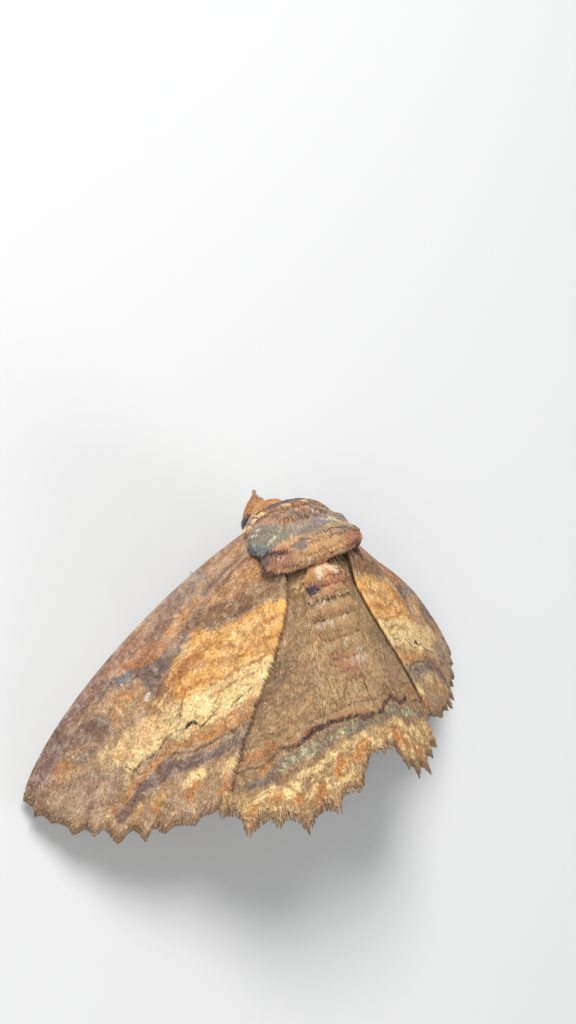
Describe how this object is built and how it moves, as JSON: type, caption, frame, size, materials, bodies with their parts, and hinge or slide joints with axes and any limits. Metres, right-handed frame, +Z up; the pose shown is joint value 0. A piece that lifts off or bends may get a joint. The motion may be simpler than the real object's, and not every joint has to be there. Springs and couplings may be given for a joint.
{
  "type": "lunate zale moth",
  "caption": "Life-size moth at rest on its legs, scalloped wings held as a low roof, forewings swept back and hindwings showing.",
  "frame": {"origin": "on the plane the feet stand on, under the middle of the box round the moth", "axes": "+Z up, the head towards -Y, the moth's left towards +X, and X across the spread wings"},
  "size_m": [0.0418, 0.0239, 0.0141],
  "materials": {
    "thorax_scales": "matte hair-like scales, rufous and umber",
    "collar_scales": "matte scales, purple-grey with a rusty hind edge",
    "tegula_scales": "matte scales, grey-green with a pale streak",
    "crest_scales": "matte scales, rust",
    "head_scales": "matte scales, orange brown",
    "abdomen_scales": "matte scales, grey brown with rusty rings",
    "forewing_scales": "soft satin scales, banded ochre, rust and umber",
    "hindwing_scales": "soft satin scales, speckled grey brown with dark lines",
    "leg_scales": "matte scales, brown with paler joints",
    "feeler": "fine matte scales, brown",
    "eye": "glossy dark brown"
  },
  "bodies": {
    "root": {"thorax": "thorax_scales", "collar": "collar_scales", "crest": "crest_scales", "tuft": "crest_scales", "head": "head_scales", "abdomen": "abdomen_scales", "eye_left": "eye", "eye_right": "eye", "palp_left": "head_scales", "palp_right": "head_scales", "antenna_left": "feeler", "antenna_right": "feeler", "tegula_left": "tegula_scales", "tegula_right": "tegula_scales", "forewing_left": "forewing_scales", "forewing_right": "forewing_scales", "hindwing_left": "hindwing_scales", "hindwing_right": "hindwing_scales", "foreleg_left": "leg_scales", "foreleg_right": "leg_scales", "midleg_left": "leg_scales", "midleg_right": "leg_scales", "hindleg_left": "leg_scales", "hindleg_right": "leg_scales"}
  },
  "joints": []
}
